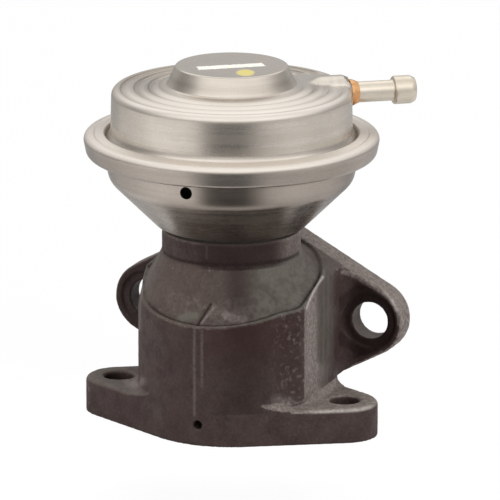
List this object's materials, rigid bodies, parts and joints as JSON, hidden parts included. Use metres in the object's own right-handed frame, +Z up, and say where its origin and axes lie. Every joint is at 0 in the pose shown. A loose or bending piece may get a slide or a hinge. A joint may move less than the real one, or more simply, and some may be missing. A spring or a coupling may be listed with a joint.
{
  "type": "exhaust gas recirculation valve",
  "caption": "Diaphragm exhaust valve: iron body with a base flange and a rear flange under a round rolled-edge vacuum can with a side hose nipple.",
  "frame": {"origin": "on the valve's axis at the underside of the base flange", "axes": "+Z up along the valve stem, +X along both flanges' bolt lines, +Y out of the rear flange's face"},
  "size_m": [0.0756, 0.0704, 0.0881],
  "materials": {
    "cast_iron": "as cast, rough",
    "seat_steel": "machined",
    "bright_steel": "ground",
    "sintered_iron": "sintered",
    "plated_steel": "drawn and plated, satin",
    "screw_steel": "plain",
    "spring_steel": "oiled wire",
    "zinc_steel": "zinc plated",
    "rubber": "matt",
    "gasket": "compressed fibre",
    "braze": "brazed"
  },
  "bodies": {
    "housing": {"valve_body": "cast_iron", "valve_seat": "seat_steel", "guide_bush": "sintered_iron", "gas_deflector": "plated_steel", "stem_seal": "rubber", "seal_retainer": "plated_steel", "housing_gasket": "gasket", "lower_housing": "plated_steel", "clamp_plate": "plated_steel", "housing_screws": "screw_steel", "diaphragm": "rubber", "return_spring": "spring_steel", "upper_housing": "plated_steel", "vacuum_nipple": "zinc_steel", "braze_ring": "braze"},
    "valve": {"pintle": "seat_steel", "valve_stem": "bright_steel", "lower_plate": "plated_steel", "upper_plate": "plated_steel", "stem_washer": "bright_steel", "stem_nut": "screw_steel"}
  },
  "joints": [
    {"name": "valve_lift", "type": "slide", "parent": "housing", "child": "valve", "axis": [0, 0, 1], "range_m": [0, 0.005], "stiffness_N_per_m": 3000, "springref_m": -0.006, "deforming": ["diaphragm", "return_spring"]}
  ]
}
